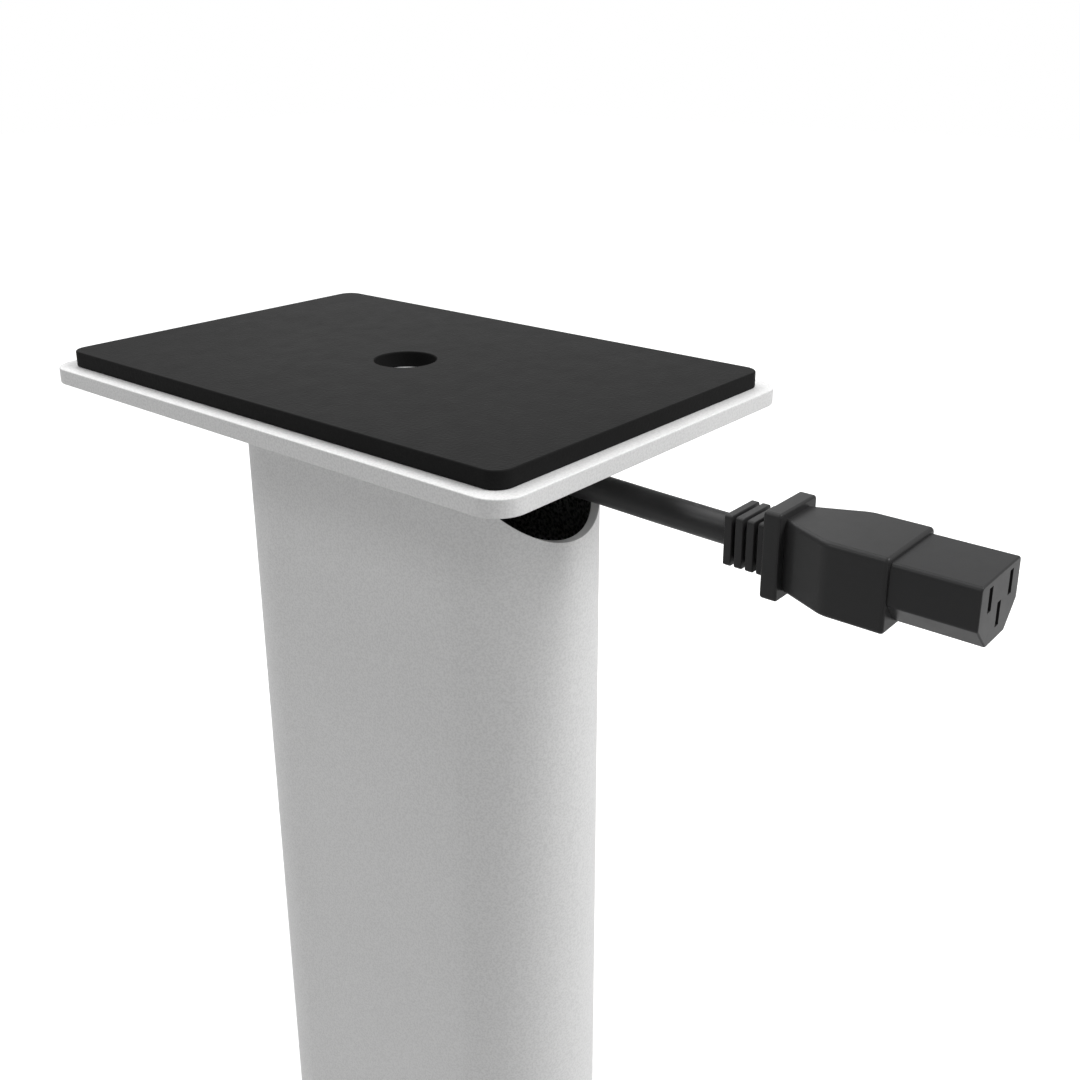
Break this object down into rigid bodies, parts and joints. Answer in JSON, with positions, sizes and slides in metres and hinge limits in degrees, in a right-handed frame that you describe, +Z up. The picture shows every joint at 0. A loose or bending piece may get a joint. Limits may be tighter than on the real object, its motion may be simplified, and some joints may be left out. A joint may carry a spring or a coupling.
{
  "type": "speaker stand",
  "caption": "Floor stand for a small loudspeaker: flat base on levelling feet, hollow oval pillar, turning padded top plate, and a power cord that leaves through a scallop behind the plate.",
  "frame": {"origin": "on the floor, under the middle of the base plate and of the turning top plate", "axes": "+Z up, +Y to the rear where the cord leaves, +X across the narrow width of the top plate"},
  "size_m": [0.25, 0.429, 0.66],
  "materials": {
    "pad_rubber": "fine matt rubber, dark grey",
    "powder_coat": "satin white powder coat with a fine grain",
    "hub_steel": "turned steel, black oxide",
    "bracket_steel": "welded steel plate, black primer",
    "zinc_screws": "zinc-plated steel",
    "black_screws": "black oxide steel",
    "foot_steel": "zinc-plated turned steel",
    "foot_rubber": "black moulded rubber",
    "glide_plastic": "low-friction plastic, black",
    "cord_jacket": "extruded satin jacket, near black",
    "tie_fabric": "woven strap, black",
    "connector_plastic": "moulded satin plastic, dark grey",
    "insert_plastic": "hard moulded plastic, dark grey",
    "contact_brass": "folded spring brass",
    "blade_nickel": "nickel-plated brass"
  },
  "bodies": {
    "stand": {"pillar": "powder_coat", "base_plate": "powder_coat", "sole_bracket": "bracket_steel", "base_screws": "zinc_screws", "foot_locknuts": "zinc_screws", "top_bracket": "bracket_steel", "glide_ring": "glide_plastic", "stop_pin": "zinc_screws", "cord_lead": "cord_jacket", "cord_riser": "cord_jacket", "cord_tail": "cord_jacket", "cord_coil": "cord_jacket", "cord_end": "cord_jacket", "coil_tie": "tie_fabric", "connector_shell": "connector_plastic", "connector_insert": "insert_plastic", "connector_contacts": "contact_brass", "plug_shell": "connector_plastic", "plug_blades": "blade_nickel", "plug_earth_pin": "blade_nickel"},
    "swivel": {"top_pad": "pad_rubber", "top_plate": "powder_coat", "swivel_hub": "hub_steel", "hub_screws": "zinc_screws", "pivot_bolt": "black_screws", "clamp_washer": "hub_steel", "spring_washer": "zinc_screws", "pivot_nut": "zinc_screws"},
    "lock": {"lock_screw": "black_screws"},
    "foot_1": {"foot_stud_1": "foot_steel", "foot_cup_1": "foot_rubber"},
    "foot_2": {"foot_stud_2": "foot_steel", "foot_cup_2": "foot_rubber"},
    "foot_3": {"foot_stud_3": "foot_steel", "foot_cup_3": "foot_rubber"},
    "foot_4": {"foot_stud_4": "foot_steel", "foot_cup_4": "foot_rubber"}
  },
  "joints": [
    {"name": "plate_swivel", "type": "hinge", "parent": "stand", "child": "swivel", "pos_m": [0, 0, 0.65], "axis": [0, 0, 1], "range_deg": [-15, 15]},
    {"name": "lock_screw_out", "type": "slide", "parent": "stand", "child": "lock", "axis": [-1, 0, 0], "range_m": [0, 0.003]},
    {"name": "foot_1_out", "type": "slide", "parent": "stand", "child": "foot_1", "axis": [0, 0, -1], "range_m": [0, 0.008]},
    {"name": "foot_2_out", "type": "slide", "parent": "stand", "child": "foot_2", "axis": [0, 0, -1], "range_m": [0, 0.008]},
    {"name": "foot_3_out", "type": "slide", "parent": "stand", "child": "foot_3", "axis": [0, 0, -1], "range_m": [0, 0.008]},
    {"name": "foot_4_out", "type": "slide", "parent": "stand", "child": "foot_4", "axis": [0, 0, -1], "range_m": [0, 0.008]}
  ]
}
